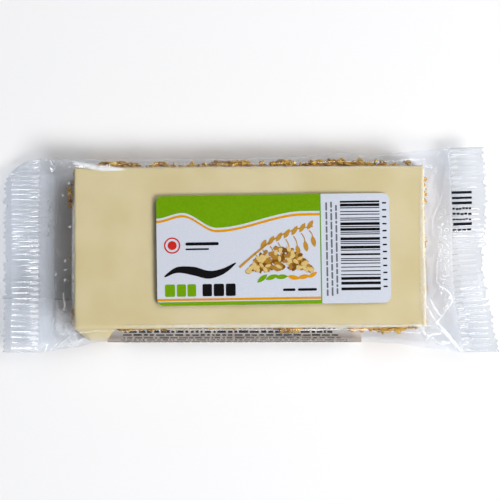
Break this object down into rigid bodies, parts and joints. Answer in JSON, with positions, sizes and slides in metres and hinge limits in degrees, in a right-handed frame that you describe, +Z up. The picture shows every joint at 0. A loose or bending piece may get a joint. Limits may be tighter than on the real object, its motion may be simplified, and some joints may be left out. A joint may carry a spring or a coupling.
{
  "type": "yogurt-coated oat bar in a clear flow-wrap pack",
  "caption": "Oat bar with a cream yogurt coating, sealed in a clear flow-wrap with crimped end seals and paper labels on its top and underside.",
  "frame": {"origin": "under the middle of the pack's bounding box, on the surface it lies on", "axes": "+X along the bar, +Y across it towards its back, +Z up out of the coated side"},
  "size_m": [0.1732, 0.072, 0.016],
  "materials": {
    "clear_film": "clear glossy film; the cream coating that shows through it gives this colour",
    "front_paper": "semi-gloss printed paper label",
    "back_paper": "semi-gloss paper label with small dark print",
    "yogurt_coating": "smooth cream yogurt coating, seen through the film",
    "baked_oats": "rough pressed oat flakes, seen through the film"
  },
  "bodies": {
    "root": {"film_wrapper": "clear_film", "front_label": "front_paper", "back_label": "back_paper"}
  },
  "joints": []
}
